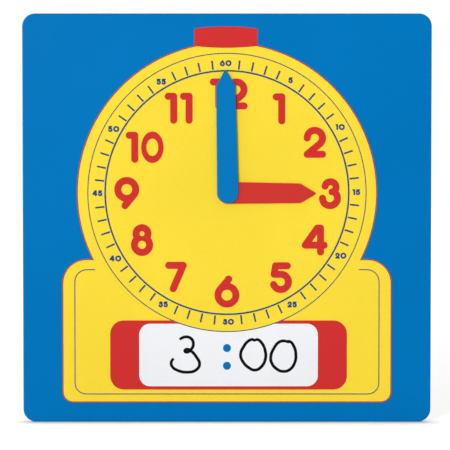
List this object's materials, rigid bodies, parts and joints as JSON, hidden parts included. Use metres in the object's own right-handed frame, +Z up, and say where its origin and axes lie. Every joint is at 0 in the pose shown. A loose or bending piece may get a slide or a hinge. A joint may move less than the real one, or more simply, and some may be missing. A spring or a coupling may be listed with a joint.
{
  "type": "demonstration clock",
  "caption": "Flat square classroom clock of laminated board: printed alarm-clock dial with a write-on time window, and plastic hands turned by hand on a centre pivot.",
  "frame": {"origin": "middle of the board's bottom edge, halfway through the board's thickness", "axes": "+Z up the board, +X to the right of someone facing the dial, -Y out of the printed face"},
  "size_m": [0.3048, 0.0106, 0.3048],
  "materials": {
    "grey_board": "solid pressed greyboard, raw cut edge",
    "blue_print": "print under a clear glossy wipe-off film",
    "back_paper": "plain, uncoated",
    "yellow_print": "print under a clear glossy wipe-off film",
    "red_print": "print under a clear glossy wipe-off film",
    "slate_print": "print under a clear glossy wipe-off film",
    "white_print": "print under a clear glossy wipe-off film",
    "red_plastic": "moulded, semi-gloss",
    "blue_plastic": "moulded, semi-gloss",
    "natural_plastic": "moulded, undyed",
    "fibre_washer": "pressed fibre, punched"
  },
  "bodies": {
    "board": {"core_board": "grey_board", "face_sheet": "blue_print", "back_sheet": "back_paper", "pivot_bush": "natural_plastic", "bush_clamp_ring": "natural_plastic", "hand_washer": "fibre_washer", "drag_washer": "fibre_washer", "dial_field": "yellow_print", "alarm_button": "red_print", "field_keyline": "red_print", "base_border": "slate_print", "outer_ring": "slate_print", "inner_ring": "slate_print", "minute_ticks": "slate_print", "time_panel": "red_print", "write_window": "white_print", "colon_dots": "blue_print", "hour_numeral_01": "red_print", "hour_numeral_02": "red_print", "hour_numeral_03": "red_print", "hour_numeral_04": "red_print", "hour_numeral_05": "red_print", "hour_numeral_06": "red_print", "hour_numeral_07": "red_print", "hour_numeral_08": "red_print", "hour_numeral_09": "red_print", "hour_numeral_10": "red_print", "hour_numeral_11": "red_print", "hour_numeral_12": "red_print", "minute_number_05": "slate_print", "minute_number_10": "slate_print", "minute_number_15": "slate_print", "minute_number_20": "slate_print", "minute_number_25": "slate_print", "minute_number_30": "slate_print", "minute_number_35": "slate_print", "minute_number_40": "slate_print", "minute_number_45": "slate_print", "minute_number_50": "slate_print", "minute_number_55": "slate_print", "minute_number_60": "slate_print"},
    "hour_hand": {"hour_hand": "red_plastic"},
    "minute_hand": {"minute_hand": "blue_plastic", "retainer_cap": "natural_plastic"}
  },
  "joints": [
    {"name": "hour_hand_turn", "type": "hinge", "parent": "board", "child": "hour_hand", "pos_m": [0.0006, -0.00255, 0.1714], "axis": [0, 1, 0], "continuous": true},
    {"name": "minute_hand_turn", "type": "hinge", "parent": "board", "child": "minute_hand", "pos_m": [0.0006, -0.00405, 0.1714], "axis": [0, 1, 0], "continuous": true}
  ]
}
